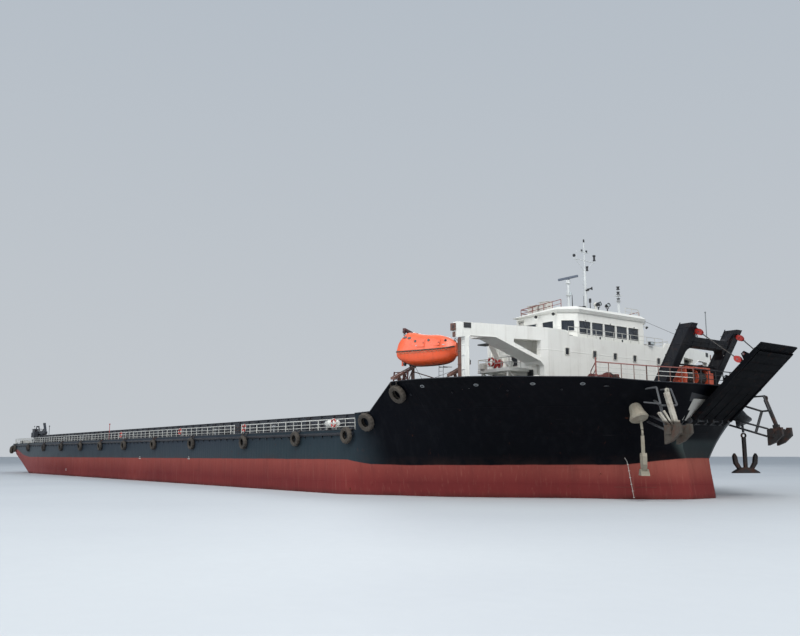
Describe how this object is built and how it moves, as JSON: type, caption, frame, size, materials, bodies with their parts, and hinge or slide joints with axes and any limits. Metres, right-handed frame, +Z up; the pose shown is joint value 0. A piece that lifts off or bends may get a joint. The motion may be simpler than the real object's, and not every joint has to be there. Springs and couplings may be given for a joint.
{
  "type": "river barge, 1:10 scale model",
  "caption": "Self-propelled flat-deck river barge with walled cargo space, raised bow with wheelhouse, hoisted bow ramp, hanging anchors and lifeboats.",
  "frame": {"origin": "under the middle of the overall box, on the flat bottom", "axes": "+X towards the bow, +Y to port, +Z up; the waterline of the picture is at z = 0.3 m"},
  "size_m": [16.1057, 4.048, 2.745],
  "materials": {
    "hull_paint": "satin, black topsides over a red boot-top",
    "cargo_wall_paint": "satin",
    "fender_rubber": "matt, worn",
    "rail_paint": "satin",
    "house_paint": "satin",
    "mast_paint": "satin",
    "ramp_paint": "satin, worn",
    "winch_paint": "satin",
    "windlass_paint": "satin",
    "anchor_iron": "rough, rusty",
    "lifeboat_grp": "satin gel coat",
    "davit_paint": "satin",
    "propeller_bronze": "polished, dull",
    "crane_paint": "satin"
  },
  "bodies": {
    "root": {"hull": "hull_paint", "bulwark": "hull_paint", "cargo_wall_starboard": "cargo_wall_paint", "cargo_wall_port": "cargo_wall_paint", "cargo_wall_aft": "cargo_wall_paint", "sheer_rail_starboard": "fender_rubber", "sheer_rail_port": "fender_rubber", "guard_rail_starboard": "rail_paint", "guard_rail_port": "rail_paint", "bow_rail": "rail_paint", "deckhouse": "house_paint", "wing_arch_starboard": "house_paint", "wing_arch_port": "house_paint", "wheelhouse": "house_paint", "wheelhouse_roof": "house_paint", "main_mast": "mast_paint", "radar_mast": "mast_paint", "signal_mast": "mast_paint", "bow_gantry": "ramp_paint", "ramp_winch": "winch_paint", "windlass_starboard": "windlass_paint", "windlass_port": "windlass_paint", "hawse_pipe_starboard": "anchor_iron", "hawse_pipe_port": "anchor_iron", "ramp_hinge": "ramp_paint", "hanging_anchor_starboard": "anchor_iron", "hanging_anchor_port": "anchor_iron", "anchor_rack_starboard": "anchor_iron", "anchor_rack_port": "anchor_iron", "plate_anchor_starboard": "anchor_iron", "plate_anchor_port": "anchor_iron", "davit_base_starboard": "davit_paint", "davit_base_port": "davit_paint", "skeg_starboard": "hull_paint", "skeg_port": "hull_paint", "crane_pedestal": "crane_paint", "boom_rest": "crane_paint"},
    "bow_ramp": {"bow_ramp": "ramp_paint"},
    "propeller_starboard": {"propeller_starboard": "propeller_bronze"},
    "propeller_port": {"propeller_port": "propeller_bronze"},
    "rudder_starboard": {"rudder_starboard": "hull_paint"},
    "rudder_port": {"rudder_port": "hull_paint"},
    "radar_scanner": {"radar_scanner": "mast_paint"},
    "crane_house": {"crane_house": "crane_paint"},
    "crane_boom": {"crane_boom": "crane_paint"},
    "lifeboat_starboard": {"lifeboat_starboard": "lifeboat_grp", "davit_arms_starboard": "davit_paint"},
    "lifeboat_port": {"lifeboat_port": "lifeboat_grp", "davit_arms_port": "davit_paint"},
    "deckhouse_door_starboard": {"deckhouse_door_starboard": "house_paint"},
    "deckhouse_door_port": {"deckhouse_door_port": "house_paint"},
    "wheelhouse_door_starboard": {"wheelhouse_door_starboard": "house_paint"},
    "wheelhouse_door_port": {"wheelhouse_door_port": "house_paint"}
  },
  "joints": [
    {"name": "ramp_hinge", "type": "hinge", "parent": "root", "child": "bow_ramp", "pos_m": [7.379, 0, 0.942], "axis": [0, 1, 0], "range_deg": [0, 50]},
    {"name": "propeller_starboard_spin", "type": "hinge", "parent": "root", "child": "propeller_starboard", "pos_m": [-7.003, -0.82, 0.125], "axis": [1, 0, 0], "continuous": true},
    {"name": "propeller_port_spin", "type": "hinge", "parent": "root", "child": "propeller_port", "pos_m": [-7.003, 0.82, 0.125], "axis": [1, 0, 0], "continuous": true},
    {"name": "rudder_starboard_turn", "type": "hinge", "parent": "root", "child": "rudder_starboard", "pos_m": [-7.353, -0.82, 0.3], "axis": [0, 0, 1], "range_deg": [-35, 35]},
    {"name": "rudder_port_turn", "type": "hinge", "parent": "root", "child": "rudder_port", "pos_m": [-7.353, 0.82, 0.3], "axis": [0, 0, 1], "range_deg": [-35, 35]},
    {"name": "radar_spin", "type": "hinge", "parent": "root", "child": "radar_scanner", "pos_m": [6.127, -0.25, 2.34], "axis": [0, 0, 1], "continuous": true},
    {"name": "crane_slew", "type": "hinge", "parent": "root", "child": "crane_house", "pos_m": [-7.453, -1.62, 1.0054], "axis": [0, 0, 1], "range_deg": [-150, 150]},
    {"name": "boom_luff", "type": "hinge", "parent": "crane_house", "child": "crane_boom", "pos_m": [-7.358, -1.62, 1.1204], "axis": [0, -1, 0], "range_deg": [0, 65]},
    {"name": "lifeboat_starboard_launch", "type": "slide", "parent": "root", "child": "lifeboat_starboard", "axis": [0.3535, -0.8707, -0.342], "range_m": [0, 0.345]},
    {"name": "lifeboat_port_launch", "type": "slide", "parent": "root", "child": "lifeboat_port", "axis": [0.3535, 0.8707, -0.342], "range_m": [0, 0.345]},
    {"name": "deckhouse_door_starboard_hinge", "type": "hinge", "parent": "root", "child": "deckhouse_door_starboard", "pos_m": [6.087, -0.97, 1.215], "axis": [0, 0, 1], "range_deg": [0, 100]},
    {"name": "deckhouse_door_port_hinge", "type": "hinge", "parent": "root", "child": "deckhouse_door_port", "pos_m": [6.087, 0.97, 1.215], "axis": [0, 0, -1], "range_deg": [0, 100]},
    {"name": "wheelhouse_door_starboard_hinge", "type": "hinge", "parent": "root", "child": "wheelhouse_door_starboard", "pos_m": [5.897, -0.63, 1.73], "axis": [0, 0, 1], "range_deg": [0, 100]},
    {"name": "wheelhouse_door_port_hinge", "type": "hinge", "parent": "root", "child": "wheelhouse_door_port", "pos_m": [5.897, 0.63, 1.73], "axis": [0, 0, -1], "range_deg": [0, 100]}
  ]
}
